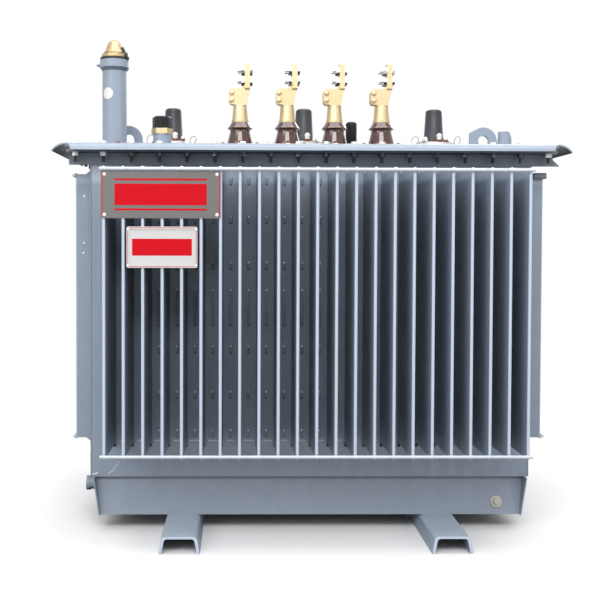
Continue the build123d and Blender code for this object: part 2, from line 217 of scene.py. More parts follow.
def start_finish(name):
    """A material with an empty tree but for its shader, its output and its coordinates."""
    material = bpy.data.materials.new(name)
    material.use_nodes = True
    tree = material.node_tree
    tree.nodes.clear()
    shader = add(tree, "ShaderNodeBsdfPrincipled")
    add(tree, "ShaderNodeOutputMaterial", {"Surface": shader.outputs[0]})
    place = add(tree, "ShaderNodeTexCoord").outputs["Object"]
    return material, tree, shader, place


def mottled(tree, place, colour, other, scale, amount):
    """The colour of a finish, uneven as the mottle group makes it."""
    values = {"Vector": place, "Colour": (*colour, 1), "Other": (*other, 1), "Scale": scale,
              "Amount": amount}
    return add(tree, "ShaderNodeGroup", values, node_tree=MOTTLE).outputs


def roughness_from(tree, shader, mask, low, high):
    """Roughness that goes from low to high with a mask."""
    tree.links.new(ranged(tree, mask, 0.0, 1.0, low, high), shader.inputs["Roughness"])


def bump(tree, shader, height, strength, distance):
    """Tilts the shader's normal as a relief of some height would."""
    links = {"Height": height, "Strength": strength, "Distance": distance}
    tree.links.new(add(tree, "ShaderNodeBump", links).outputs[0], shader.inputs["Normal"])


def grain(tree, shader, place, scale, strength, distance):
    """A fine bump from noise on the shader's normal."""
    bump(tree, shader, noise(tree, place, scale, 3.0, 0.6), strength, distance)


def patchy(name, colour, other, patches, roughness, grains, settings=None):
    """A finish in two close colours, with patches of a scale and amount, and grains of a scale,
    strength and depth. Its roughness is one value, or two that it varies between."""
    material, tree, shader, place = start_finish(name)
    base = mottled(tree, place, colour, other, *patches)
    tree.links.new(base["Colour"], shader.inputs["Base Color"])
    if isinstance(roughness, tuple):
        roughness_from(tree, shader, base["Mask"], *roughness)
    else:
        shader.inputs["Roughness"].default_value = roughness
    for label, value in (settings or {}).items():
        shader.inputs[label].default_value = value
    grain(tree, shader, place, *grains)
    return material


# The tank's paint: its colours, and the places where it carries painted highlights and painted shade

ENAMEL = (0.275, 0.325, 0.400)
ENAMEL_DEEP = (0.235, 0.280, 0.350)
ENAMEL_WASHED = (0.35, 0.385, 0.43)
ENAMEL_HIGHLIGHT = (0.53, 0.61, 0.73)
DUST_GREY = (0.44, 0.45, 0.45)
UNDERSIDE_SHADE = (0.045, 0.055, 0.070)
HOOD_SHADE = (0.030, 0.037, 0.048)
FIN_GAP_SHADE = (0.105, 0.130, 0.170)
PRESSING_HIGHLIGHT = (0.85, 0.88, 0.92)
PRESSING_SHADE = (0.06, 0.07, 0.09)
EDGE_BAND = (-0.005, -0.001)
FIN_GAP_SHADE_Y = (0.49, 0.36)
FOLD_END_Z = (1.164, 1.180)
FOLD_END_Y = (0.50, 0.49)


def outer_edge(tree, place, limits):
    """High on the outermost millimetres of a part, given its reach along X and Y, for a painted highlight.
    """
    where = axes(tree, place)
    past = [maths(tree, "SUBTRACT", maths(tree, "ABSOLUTE", where[axis]), limit)
            for axis, limit in zip("XY", limits)]
    return ranged(tree, maths(tree, "MAXIMUM", *past), *EDGE_BAND, most=0.85)


def fin_depths(tree, place):
    """High on the fins' broad sides, deep between them, for painted shade."""
    broad = ranged(tree, maths(tree, "ABSOLUTE", normal_axes(tree)["X"]), 0.7, 0.9)
    deep = ranged(tree, maths(tree, "ABSOLUTE", axes(tree, place)["Y"]), *FIN_GAP_SHADE_Y, most=0.6)
    return maths(tree, "MULTIPLY", deep, broad)


def fold_ends(tree, place):
    """High on the pressed ends of the folds, just under the rim, between the fins, for a painted highlight.
    """
    where = axes(tree, place)
    height = ranged(tree, where["Z"], *FOLD_END_Z, most=0.48)
    near = ranged(tree, maths(tree, "ABSOLUTE", where["Y"]), *FOLD_END_Y)
    return maths(tree, "MULTIPLY", height, near)


def hood_insides(tree, place):
    """High inside the bent ends of the lid, where the faces look back at the tank, for painted shade."""
    back = maths(tree, "MULTIPLY", axes(tree, place)["X"], normal_axes(tree)["X"])
    return ranged(tree, back, -0.15, -0.45)


def enamel_paint(name, shade=1.0, edges=None, folds=False, pressings=False, hoods=False):
    """Blue-grey machine enamel: slight orange peel, rain runs and settled dust, with painted shade on
    undersides;
    where asked, painted highlights on edges, fold ends and pressings, and painted shade between the fins,
    inside the lid's ends and under the pressings.
    """
    material, tree, shader, place = start_finish(name)
    main, deep, washed = [tuple(shade * part for part in colour)
                          for colour in (ENAMEL, ENAMEL_DEEP, ENAMEL_WASHED)]
    base = mottled(tree, place, main, deep, 2.5, 0.7)
    runs = add(tree, "ShaderNodeGroup", {"Vector": place}, node_tree=RUNS)
    dust = add(tree, "ShaderNodeGroup", {"Vector": place}, node_tree=DUST)
    faint = maths(tree, "MULTIPLY", runs.outputs["Mask"], 0.22)
    colour = blend_colour(tree, faint, base["Colour"], washed)
    colour = blend_colour(tree, dust.outputs["Mask"], colour, DUST_GREY)
    # Painted shade: faces that look down, and with hoods the insides of the lid's bent ends, go dark.
    under = facing(tree, -0.25, -0.75)
    if hoods:
        under = maths(tree, "MAXIMUM", under, hood_insides(tree, place))
    colour = blend_colour(tree, under, colour, HOOD_SHADE if hoods else UNDERSIDE_SHADE)
    # Painted highlight along the outermost edges: the fin tips and the skids' front edges.
    if edges:
        colour = blend_colour(tree, outer_edge(tree, place, edges), colour, ENAMEL_HIGHLIGHT)
    if folds:
        # Painted shade deep between the fins.
        colour = blend_colour(tree, fin_depths(tree, place), colour, FIN_GAP_SHADE)
        # Painted highlight on the fold ends under the rim.
        colour = blend_colour(tree, fold_ends(tree, place), colour, ENAMEL_HIGHLIGHT)
    if pressings:
        # Painted highlight on the pressings' upper ends, painted shade on their lower ends.
        colour = blend_colour(tree, facing(tree, 0.55, 0.75), colour, PRESSING_HIGHLIGHT)
        colour = blend_colour(tree, facing(tree, -0.20, -0.50), colour, PRESSING_SHADE)
    tree.links.new(colour, shader.inputs["Base Color"])
    roughness_from(tree, shader, base["Mask"], 0.28, 0.42)
    # The painted shade also takes the shine off the undersides.
    tree.links.new(ranged(tree, under, 0.0, 1.0, 0.5, 0.04), shader.inputs["Specular IOR Level"])
    grain(tree, shader, place, 220.0, 0.12, 0.0006)
    return material


def weld_paint():
    """Pale paint on the welds, and on the round bars across the fins, where the pale is a painted highlight.
    """
    return patchy("pale_weld_and_rod_paint", (0.64, 0.69, 0.76), (0.48, 0.53, 0.60), patches=(45.0, 0.8),
                  roughness=(0.25, 0.40), grains=(400.0, 0.2, 0.0004))


def brown_glaze():
    """Dark chocolate porcelain under a deep clear glaze."""
    return patchy("brown_glaze", (0.045, 0.014, 0.010), (0.085, 0.030, 0.020), patches=(9.0, 0.6),
                  roughness=(0.10, 0.20), grains=(90.0, 0.08, 0.0008),
                  settings={"Coat Weight": 0.6, "Coat Roughness": 0.05})


def yellow_brass(name, bright, dark):
    """Machined brass, dulled in patches by handling and air."""
    return patchy(name, bright, dark, patches=(16.0, 0.7), roughness=(0.36, 0.52),
                  grains=(520.0, 0.18, 0.0003), settings={"Metallic": 0.85})


def cast_resin():
    """Dark grey cast resin, satin."""
    return patchy("cast_resin", (0.038, 0.040, 0.048), (0.026, 0.027, 0.033), patches=(12.0, 0.6),
                  roughness=(0.34, 0.46), grains=(300.0, 0.08, 0.0004),
                  settings={"Specular IOR Level": 0.35})


def zinc_plating(name, bright, dark, metallic, roughness=(0.28, 0.46)):
    """Zinc plating with a faint crystal pattern, from new and pale to old and dull."""
    return patchy(name, bright, dark, patches=(60.0, 0.7), roughness=roughness,
                  grains=(700.0, 0.12, 0.0002), settings={"Metallic": metallic})


def bolt_plating():
    """Fresh zinc plating on the flag bolts, white above, with painted shade below: near black where the
    faces look down.
    """
    material, tree, shader, place = start_finish("zinc_painted_shade_below")
    base = mottled(tree, place, (0.94, 0.94, 0.93), (0.86, 0.86, 0.86), 60.0, 0.6)
    # Painted shade: faces that look down go near black.
    colour = blend_colour(tree, facing(tree, -0.30, -0.70), base["Colour"], (0.020, 0.020, 0.024))
    tree.links.new(colour, shader.inputs["Base Color"])
    roughness_from(tree, shader, base["Mask"], 0.34, 0.50)
    grain(tree, shader, place, 700.0, 0.12, 0.0002)
    return material


def rusted_steel():
    """Small steel hardware gone red-brown with rust."""
    return patchy("rusted_steel", (0.30, 0.10, 0.05), (0.14, 0.05, 0.035), patches=(70.0, 1.0),
                  roughness=0.75, grains=(900.0, 0.5, 0.0004))


def black_moulding():
    """Black moulded plastic with a fine satin grain."""
    return patchy("black_moulding", (0.008, 0.008, 0.009), (0.015, 0.015, 0.016), patches=(30.0, 0.6),
                  roughness=(0.32, 0.46), grains=(1200.0, 0.15, 0.0002),
                  settings={"Specular IOR Level": 0.22})


def black_rubber():
    """Black oil-proof rubber, dull."""
    return patchy("black_rubber", (0.016, 0.016, 0.016), (0.030, 0.029, 0.028), patches=(40.0, 0.7),
                  roughness=0.7, grains=(800.0, 0.3, 0.0003))


def brushed_steel():
    """A thin stainless plate brushed along its length."""
    material, tree, shader, place = start_finish("brushed_steel")
    lines = add(tree, "ShaderNodeGroup", {"Vector": place}, node_tree=BRUSHING).outputs["Mask"]
    colour = blend_colour(tree, lines, (0.125, 0.120, 0.115), (0.19, 0.183, 0.178))
    tree.links.new(colour, shader.inputs["Base Color"])
    shader.inputs["Metallic"].default_value = 0.55
    roughness_from(tree, shader, lines, 0.34, 0.52)
    bump(tree, shader, lines, 0.12, 0.0002)
    return material


def plain_enamel(name, colour, other, shine=0.5):
    """A flat coat of stoving enamel in a plain colour."""
    return patchy(name, colour, other, patches=(20.0, 0.5), roughness=(0.25, 0.35),
                  grains=(400.0, 0.06, 0.0003), settings={"Specular IOR Level": shine})


PAINT = enamel_paint("blue_grey_enamel")
# The fins' enamel, with painted highlights on the tips and fold ends and painted shade between the fins.
FIN_PAINT = enamel_paint("blue_grey_enamel_fins", edges=(SIDE_TIP_X, -TIP_Y), folds=True)
# A darker copy of the enamel for the rim and the bar ends under the lid: painted shade.
RIM_PAINT = enamel_paint("blue_grey_enamel_rim_painted_shade", shade=0.66)
# A lighter copy of the enamel for the skids, painted light, with a painted highlight on their front edges.
SKID_PAINT = enamel_paint("blue_grey_enamel_skids_painted_light", shade=1.42, edges=(2.0, span("skid_left")[1].y))
# The lid's enamel, with painted shade inside its bent ends.
LID_PAINT = enamel_paint("blue_grey_enamel_lid", hoods=True)
# A darker copy of the enamel for the base box: painted shade.
BASE_PAINT = enamel_paint("blue_grey_enamel_base_painted_shade", shade=0.88)
# Pressings with a painted highlight above and painted shade below.
PRESSING_PAINT = enamel_paint("blue_grey_enamel_pressings", pressings=True)
# Pale paint for the welds and the round bars; on the bars it is a painted highlight.
WELD_PAINT = weld_paint()
GLAZE = brown_glaze()
BRASS = yellow_brass("yellow_brass", (0.63, 0.51, 0.31), (0.50, 0.385, 0.225))
# A darker copy of the brass for the filler cap: painted shade.
CAP_BRASS = yellow_brass("brass_painted_shade", (0.51, 0.40, 0.23), (0.40, 0.30, 0.165))
RESIN = cast_resin()
ZINC = zinc_plating("zinc_plating", (0.80, 0.80, 0.80), (0.66, 0.66, 0.65), 0.5)
# Near-white steel for the plate screws, and for the spots on the pressings, which are painted highlights.
BRIGHT_STEEL_AND_GLINT = zinc_plating("bright_steel_and_painted_glint", (0.95, 0.95, 0.97), (0.88, 0.88, 0.90), 0.0, (0.10, 0.20))
AGED = zinc_plating("aged_zinc", (0.46, 0.43, 0.40), (0.30, 0.27, 0.24), 0.5)
DULL = zinc_plating("dull_zinc", (0.14, 0.14, 0.14), (0.05, 0.05, 0.05), 0.6)
ZINC_SHADED_BELOW = bolt_plating()
RUST = rusted_steel()
BLACK = black_moulding()
RUBBER = black_rubber()
BRUSHED = brushed_steel()
STICKER = plain_enamel("sticker_paper", (0.70, 0.70, 0.70), (0.66, 0.66, 0.66))
WHITE = plain_enamel("white_enamel", (0.60, 0.59, 0.59), (0.54, 0.53, 0.53))
RED = plain_enamel("red_enamel", (0.58, 0.003, 0.012), (0.52, 0.003, 0.010), 0.15)

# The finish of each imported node, by how its name starts: the first that fits holds, else plain paint
NODE_FINISH = {
    "lv_bushing": GLAZE, "lv_terminal": BRASS, "filler_cap": BRASS, "valve_nut": BRASS,
    "hv_bushing": RESIN, "hv_flanges": ZINC, "drain_plug": AGED, "filler_gasket": RUBBER,
    "lid_gasket": RUBBER, "lid": LID_PAINT, "valve_cap": BLACK, "tap_changer": BLACK,
    "rating_plate": BRUSHED, "small_plate": WHITE, "fin_rods": WELD_PAINT, "fin_wall": FIN_PAINT,
    "rim_": RIM_PAINT, "skid_": SKID_PAINT, "base_box": BASE_PAINT,
}
for name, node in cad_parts.items():
    finish = next((value for key, value in NODE_FINISH.items() if name.startswith(key)), PAINT)
    for entry in node.material_slots:
        entry.material = finish


# Making pieces

def finish_piece(name, shape, material, smooth_angle=35):
    """Turns a bmesh into a piece of the object, shaded smooth up to an angle."""
    bmesh.ops.recalc_face_normals(shape, faces=shape.faces)
    mesh = bpy.data.meshes.new(name)
    shape.to_mesh(mesh)
    shape.free()
    mesh.shade_smooth()
    mesh.set_sharp_from_angle(angle=math.radians(smooth_angle))
    mesh.materials.append(material)
    piece = bpy.data.objects.new(name, mesh)
    bpy.context.scene.collection.objects.link(piece)
    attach(piece, "root")
    return piece


def insert(target, source, matrix):
    """Adds a copy of one bmesh to another, moved by a matrix."""
    holder = bpy.data.meshes.new("holder")
    source.to_mesh(holder)
    count = len(target.verts)
    target.from_mesh(holder)
    bpy.data.meshes.remove(holder)
    target.verts.ensure_lookup_table()
    bmesh.ops.transform(target, matrix=matrix, verts=target.verts[count:])


def at(x, y, z):
    """A move to a place."""
    return Matrix.Translation((x, y, z))


def turn(degrees, axis="Z"):
    """A turn about an axis."""
    return Matrix.Rotation(math.radians(degrees), 4, axis)


def any_turn():
    """A turn about Z by chance, as bolts and nuts end up."""
    return Matrix.Rotation(chance.uniform(0, math.tau), 4, "Z")


def lathed(points, segments=48):
    """A closed bmesh turned about Z from a profile of radius and height, in metres."""
    bm = bmesh.new()
    verts = [bm.verts.new((r, 0, z)) for r, z in points]
    for a, b in zip(verts, verts[1:]):
        bm.edges.new((a, b))
    bmesh.ops.spin(bm, geom=bm.verts[:] + bm.edges[:], axis=(0, 0, 1), cent=(0, 0, 0), steps=segments,
                   angle=math.tau, use_merge=True)
    bmesh.ops.remove_doubles(bm, verts=bm.verts, dist=1e-6)
    return bm


def arc(cx, cz, radius, start, end, steps):
    """Points along an arc of a profile, angles in degrees."""
    angles = [math.radians(start + (end - start) * i / steps) for i in range(steps + 1)]
    return [(cx + radius * math.cos(t), cz + radius * math.sin(t)) for t in angles]


def domed(side, segments):
    """A cap turned from the outline of its side, and closed by half a ball."""
    r, z = side[-1]
    return lathed([(0, 0), *side, *arc(0, z, r, 0, 90, 6)[1:-1], (0, z + r)], segments)


def bevel_all(bm, edges, offset, segments=2):
    """Rounds some edges."""
    bmesh.ops.bevel(bm, geom=edges, offset=offset, offset_type="OFFSET", segments=segments, profile=0.5,
                    affect="EDGES", material=-1)


def hexagon(across, height):
    """A hexagon head or nut standing on Z = 0, its top corners chamfered."""
    bm = bmesh.new()
    corner = across / math.sqrt(3)
    bmesh.ops.create_cone(bm, cap_ends=True, segments=6, radius1=corner, radius2=corner, depth=height,
                          matrix=at(0, 0, height / 2))
    top = [e for e in bm.edges if all(v.co.z > height * 0.9 for v in e.verts)]
    bevel_all(bm, top, height * 0.12, 1)
    return bm


def disc(radius, height, segments=24):
    """A washer or drum standing on Z = 0."""
    bm = bmesh.new()
    bmesh.ops.create_cone(bm, cap_ends=True, segments=segments, radius1=radius, radius2=radius,
                          depth=height, matrix=at(0, 0, height / 2))
    return bm


def block(size, round_off, segments=2):
    """A rounded block about the origin."""
    bm = bmesh.new()
    bmesh.ops.create_cube(bm, size=1.0)
    bmesh.ops.scale(bm, vec=size, verts=bm.verts)
    bevel_all(bm, bm.edges[:], round_off, segments)
    return bm


THREAD_ROOT = 0.88
THREAD_TIP = 0.8


def threaded_end(radius, length, pitch):
    """A bolt's end with thread ridges, hanging down from Z = 0."""
    ridges = int(length / pitch)
    points = [(0, 0)]
    for i in range(ridges):
        points += [(radius * THREAD_ROOT, -i * pitch), (radius, -(i + 0.5) * pitch)]
    points += [(radius * THREAD_TIP, -ridges * pitch), (0, -ridges * pitch)]
    return lathed(points, 12)


# Lid bolts

BOLT_INSET = 0.020
LONG_SIDE_BOLTS = 16
LONG_SIDE_REACH = 0.692
CORNER_BOLT_X = 0.785
SHORT_SIDE_BOLTS = 5
SHORT_SIDE_REACH = 0.184
LID_BOLT_R = 0.006
LID_BOLT_ACROSS = 0.019
LID_HEAD_H = 0.0065
LID_NUT_H = 0.010
LID_WASHER_R = 0.0125
LID_WASHER_H = 0.0025
LID_THREAD_LENGTH = 0.034
LID_THREAD_PITCH = 0.00175


def spread(reach, count):
    """Evenly spaced places from -reach to reach."""
    return [reach * (2 * i / (count - 1) - 1) for i in range(count)]


def lid_bolt_places():
    """Where the bolts pass through the lid and the rim."""
    long_y = RIM_LOW.y + BOLT_INSET
    short_x = span("rim_left")[0].x + BOLT_INSET
    xs = [-CORNER_BOLT_X, *spread(LONG_SIDE_REACH, LONG_SIDE_BOLTS), CORNER_BOLT_X]
    ys = spread(SHORT_SIDE_REACH, SHORT_SIDE_BOLTS)
    places = [(x, side * long_y) for side in (1, -1) for x in xs]
    return places + [(side * short_x, y) for side in (1, -1) for y in ys]


def lid_bolts():
    """Hexagon heads on the lid, and nuts on long threaded ends below the rim, newer at the corners."""
    heads = bmesh.new()
    dull_nuts = bmesh.new()
    newer_nuts = bmesh.new()
    washer = disc(LID_WASHER_R, LID_WASHER_H, 20)
    head = hexagon(LID_BOLT_ACROSS, LID_HEAD_H)
    nut = hexagon(LID_BOLT_ACROSS, LID_NUT_H)
    thread = threaded_end(LID_BOLT_R, LID_THREAD_LENGTH, LID_THREAD_PITCH)
    rim_under = RIM_HIGH.z - RIM_THICK
    for x, y in lid_bolt_places():
        spin = any_turn()
        insert(heads, washer, at(x, y, LID_TOP))
        insert(heads, head, at(x, y, LID_TOP + LID_WASHER_H) @ spin)
        nuts = newer_nuts if abs(x) == CORNER_BOLT_X or x == -LONG_SIDE_REACH else dull_nuts
        insert(nuts, washer, at(x, y, rim_under - LID_WASHER_H))
        insert(nuts, nut, at(x, y, rim_under - LID_WASHER_H - LID_NUT_H) @ spin)
        insert(dull_nuts, thread, at(x, y, rim_under))
    finish_piece("lid_bolt_heads", heads, ZINC)
    finish_piece("lid_bolt_nuts", dull_nuts, DULL)
    finish_piece("corner_bolt_nuts", newer_nuts, ZINC)


# Pressings and welds on the tank

FIN_LOW_Z = 0.300
FIN_HIGH_Z = 1.202
FIN_MIDDLE_Z = (FIN_LOW_Z + FIN_HIGH_Z) / 2
END_FIN_FACE = (SIDE_FINS - 1) / 2 * FIN_PITCH + FIN_WIDTH / 2

# The pressings' heights above the fins' middle, and their lengths
PRESSINGS = [(-0.425, 0.028), (-0.295, 0.028), (-0.141, 0.028), (0.0, 0.126), (0.141, 0.028),
             (0.295, 0.028), (0.425, 0.028)]
PRESSING_R = 0.006
PRESSING_RISE = 0.0035
SPOT_R = 0.0042
SPOT_DROP = 0.0035
SPOT_OUT = 0.0024
END_FIN_SPOTS = [(-0.770, 1.127), (-0.772, 0.967), (-0.773, 0.933)]
SPOT_SUNK = 0.0005

SIDE_BAR = (0.044, 0.020, 0.020)
SIDE_BAR_X = 0.785
SIDE_BAR_Z = 1.201
SIDE_BAR_OUT = 0.0075

ROD_INSET = 0.006
ROD_BLOB_R = 0.006
ROD_BLOB_OUT = 0.004
FLANGE_WELD_R = 0.0015
CORNER_WELD_R = 0.0025
CORNER_WELD_STEP = 0.012
FOLD_WELD_R = 0.0030
FOLD_WELD_RISE = 0.002
FOLD_WELD_STRAY = 0.004
FOLD_WELD_HALVES = (0.012, 0.020)
WELD_SWELL = (0.86, 1.16)
FINE_STEP = 0.004
RUBBED_WELD = [(-0.645, 0.231), (-0.651, 0.220), (-0.660, 0.208), (-0.671, 0.196), (-0.684, 0.187)]
RUBBED_WELD_R = 0.0016
RUBBED_TACK = [(-0.735, 0.186), (-0.716, 0.190)]
RUBBED_TACK_R = 0.0035


def fin_places(fins):
    """Where the middles of a wall's fins are along it. One fin fewer gives the gaps between them."""
    return [(i - (fins - 1) / 2) * FIN_PITCH for i in range(fins)]


def capsule(length):
    """A long rounded pressing, upright, half of it sunk in the sheet."""
    bm = bmesh.new()
    bmesh.ops.create_uvsphere(bm, u_segments=12, v_segments=8, radius=PRESSING_R)
    stretch = length / 2 - PRESSING_R
    for vert in bm.verts:
        if abs(vert.co.z) > 1e-6:
            vert.co.z += math.copysign(stretch, vert.co.z)
    bmesh.ops.scale(bm, vec=(1, PRESSING_RISE / PRESSING_R, 1), verts=bm.verts)
    return bm


def wall_pressings():
    """Rows of pressings on the sheet between the fins of all four walls, near-white spots as painted
    highlights near the tops of all but the highest, and three such spots on the left end fin."""
    shapes = {length: capsule(length) for _, length in PRESSINGS}
    rows = {
        "front": (FRONT_FINS, turn(0), WALL_Y),
        "back": (FRONT_FINS, turn(180), WALL_Y),
        "left": (SIDE_FINS, turn(-90), -WALL_X),
        "right": (SIDE_FINS, turn(90), -WALL_X),
    }
    spots = bmesh.new()
    spot = bmesh.new()
    bmesh.ops.create_icosphere(spot, subdivisions=2, radius=SPOT_R)
    for side, (fins, round_to, wall) in rows.items():
        bm = bmesh.new()
        for x in fin_places(fins - 1):
            for rise, length in PRESSINGS:
                insert(bm, shapes[length], round_to @ at(x, wall, FIN_MIDDLE_Z + rise))
            for rise, length in PRESSINGS[:-1]:
                top = FIN_MIDDLE_Z + rise + length / 2 - SPOT_DROP
                insert(spots, spot, round_to @ at(x, wall - SPOT_OUT, top))
        finish_piece(f"wall_pressings_{side}", bm, PRESSING_PAINT, 60)
    for x, z in END_FIN_SPOTS:
        insert(spots, spot, at(x, SPOT_SUNK - END_FIN_FACE, z))
    finish_piece("pressing_spots", spots, BRIGHT_STEEL_AND_GLINT, 60)


def side_bar_ends():
    """Short bar ends at the top of the right-hand end fins, in the rim's darker paint, which is painted
    shade.
    """
    bm = bmesh.new()
    out = END_FIN_FACE + SIDE_BAR_OUT
    for side in (-1, 1):
        insert(bm, block(SIDE_BAR, 0.003), at(SIDE_BAR_X, side * out, SIDE_BAR_Z))
    finish_piece("side_bar_ends", bm, RIM_PAINT)


def weld_bead(bm, start, end, radius, step=0.006):
    """A bead of weld between two points, its width uneven from ripple to ripple."""
    start, end = Vector(start), Vector(end)
    along = end - start
    rings = max(2, int(along.length / step))
    ring = bmesh.ops.create_circle(bm, cap_ends=True, segments=8, radius=radius)["verts"]
    place = Matrix.Translation(start) @ along.to_track_quat("Z", "Y").to_matrix().to_4x4()
    bmesh.ops.transform(bm, matrix=place, verts=ring)
    face = ring[0].link_faces[0]
    for _ in range(rings):
        made = bmesh.ops.extrude_face_region(bm, geom=[face])["geom"]
        face = next(item for item in made if isinstance(item, bmesh.types.BMFace))
        bmesh.ops.translate(bm, vec=along / rings, verts=face.verts[:])
        middle = face.calc_center_median()
        grow = chance.uniform(*WELD_SWELL)
        for vert in face.verts:
            vert.co = middle + (vert.co - middle).normalized() * radius * grow


def tank_welds():
    """Beads along the base flange and up the tank's corners."""
    bm = bmesh.new()
    for side in (-1, 1):
        weld_bead(bm, (-WALL_X, side * WALL_Y, BASE_TOP), (WALL_X, side * WALL_Y, BASE_TOP), FLANGE_WELD_R)
        weld_bead(bm, (side * WALL_X, WALL_Y, BASE_TOP), (side * WALL_X, -WALL_Y, BASE_TOP), FLANGE_WELD_R)
        for end in (-1, 1):
            foot = (side * WALL_X, end * WALL_Y, BASE_TOP)
            weld_bead(bm, foot, (*foot[:2], RIM_LOW.z), CORNER_WELD_R, CORNER_WELD_STEP)
    finish_piece("tank_welds", bm, PAINT, 60)


def fold_welds():
    """Short bright beads below the folds between the fins, and a rubbed weld by the left corner."""
    bm = bmesh.new()
    z = FIN_LOW_Z + FOLD_WELD_RISE
    for side in (-1, 1):
        for gap in fin_places(FRONT_FINS - 1):
            x = gap + chance.uniform(-FOLD_WELD_STRAY, FOLD_WELD_STRAY)
            half = chance.uniform(*FOLD_WELD_HALVES)
            start, end = (x - half, side * WALL_Y, z), (x + half, side * WALL_Y, z)
            weld_bead(bm, start, end, FOLD_WELD_R, FINE_STEP)
    for line, radius in ((RUBBED_WELD, RUBBED_WELD_R), (RUBBED_TACK, RUBBED_TACK_R)):
        places = [(x, WALL_Y, height) for x, height in line]
        for start, end in zip(places, places[1:]):
            weld_bead(bm, start, end, radius, FINE_STEP)
    finish_piece("fold_welds", bm, WELD_PAINT, 60)


def rod_welds():
    """A small blob of weld wherever a round bar crosses a fin tip."""
    blob = bmesh.new()
    bmesh.ops.create_icosphere(blob, subdivisions=2, radius=ROD_BLOB_R)
    bm = bmesh.new()
    rod_y = span("fin_rods_front")[1].y
    rod_x = -span("fin_rods_sides")[0].x - ROD_D
    for z in (FIN_LOW_Z + ROD_INSET - ROD_BLOB_OUT, FIN_HIGH_Z - ROD_INSET + ROD_BLOB_OUT):
        for x in fin_places(FRONT_FINS):
            for side in (-1, 1):
                size = Matrix.Diagonal((chance.uniform(0.7, 1.2), chance.uniform(0.7, 1.0), 0.8, 1))
                insert(bm, blob, at(x, -side * rod_y, z) @ size)
        for y in fin_places(SIDE_FINS):
            for side in (-1, 1):
                insert(bm, blob, at(side * rod_x, y, z))
    finish_piece("rod_welds", bm, WELD_PAINT, 60)


# Low-voltage bushings and their terminals

LV_PLACES = [(i - (LV_COUNT - 1) / 2) * LV_PITCH for i in range(LV_COUNT)]
LV_Y = centre("lv_bushing_1").y
LV_CROWN_Z = span("lv_bushing_1")[1].z
COLLAR_H = 0.007
HUB_H = 0.050
CLAMP_H = 0.058
CLAMP_DEPTH = 0.044
CLAMP_BOLT_X = -0.0285
CLAMP_BOLT_Z = LV_CROWN_Z + COLLAR_H + HUB_H + CLAMP_H / 2
CLAMP_BOLT_PITCH = 0.024
FLAG_X = 0.024
FLAG_THICK = 0.017
FLAG_HOLE_Z = LV_CROWN_Z + COLLAR_H + HUB_H + CLAMP_H + 0.042
FLAG_HOLE_PITCH = 0.031
FLAG_HOLE_PITCH_Z = 0.035
FLAG_BOLT_R = 0.006
FLAG_BOLT_ACROSS = 0.022
FLAG_THREAD_LENGTH = 0.014
FLAG_WASHER_H = 0.0025
FLAG_WASHER_SUNK = 0.0005

CLAW = (0.026, 0.016, 0.006)
CLAW_REACH = 0.054
STUD_REACH = 0.058
STUD_R = 0.004
STUD_NUT_ACROSS = 0.015
STUD_NUT_H = 0.0045
STUD_WASHER_R = 0.009
STUD_WASHER_H = 0.002
STUD_TOP = 0.0145
STUD_END = 0.002
STUD_PITCH = 0.001


def lv_porcelain(index, x):
    """A flared foot, a neck and one drooping shed, all softly rounded."""
    outline = [(0, 0), (0.0445, 0), (0.0460, 0.0015), (0.0460, 0.003), (0.0420, 0.016), (0.0380, 0.032),
               (0.0345, 0.046), (0.0335, 0.0515), (0.0340, 0.0545), (0.0400, 0.0580)]
    outline += arc(0.0412, 0.0608, 0.0018, -80, 60, 5)
    outline += [(0.0375, 0.0680), (0.0330, 0.0748), (0.0295, 0.0802), (0.0285, 0.0810), (0, 0.0810)]
    bm = lathed(outline, 56)
    bmesh.ops.translate(bm, vec=(x, LV_Y, LID_TOP), verts=bm.verts)
    piece = finish_piece(f"porcelain_{index + 1}", bm, GLAZE, 50)
    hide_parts(f"lv_bushing_{index + 1}")


def cross_bolt(thickness, radius, across, thread_length):
    """A bolt along Z through a part: head and washer above, washer, nut and thread below."""
    half = thickness / 2
    seat = half + FLAG_WASHER_H - FLAG_WASHER_SUNK
    head_height = radius * 1.2
    nut_height = radius * 1.6
    thread_pitch = radius * 0.3
    washer = disc(radius * 2.3, FLAG_WASHER_H, 20)
    bm = bmesh.new()
    insert(bm, washer, at(0, 0, half))
    insert(bm, hexagon(across, head_height), at(0, 0, seat))
    insert(bm, washer, at(0, 0, -seat))
    insert(bm, hexagon(across, nut_height), at(0, 0, -seat - nut_height))
    insert(bm, threaded_end(radius, thread_length, thread_pitch), at(0, 0, -seat - nut_height))
    insert(bm, disc(radius, thickness, 16), at(0, 0, -half))
    return bm


def flag_bolts():
    """Four bolts through each flag."""
    bm = bmesh.new()
    bolt = cross_bolt(FLAG_THICK, FLAG_BOLT_R, FLAG_BOLT_ACROSS, FLAG_THREAD_LENGTH)
    for x in LV_PLACES:
        for dy in (-FLAG_HOLE_PITCH / 2, FLAG_HOLE_PITCH / 2):
            for dz in (-FLAG_HOLE_PITCH_Z / 2, FLAG_HOLE_PITCH_Z / 2):
                place = at(x + FLAG_X, LV_Y + dy, FLAG_HOLE_Z + dz)
                insert(bm, bolt, place @ turn(90, "Y") @ any_turn())
    finish_piece("flag_bolts", bm, ZINC_SHADED_BELOW)


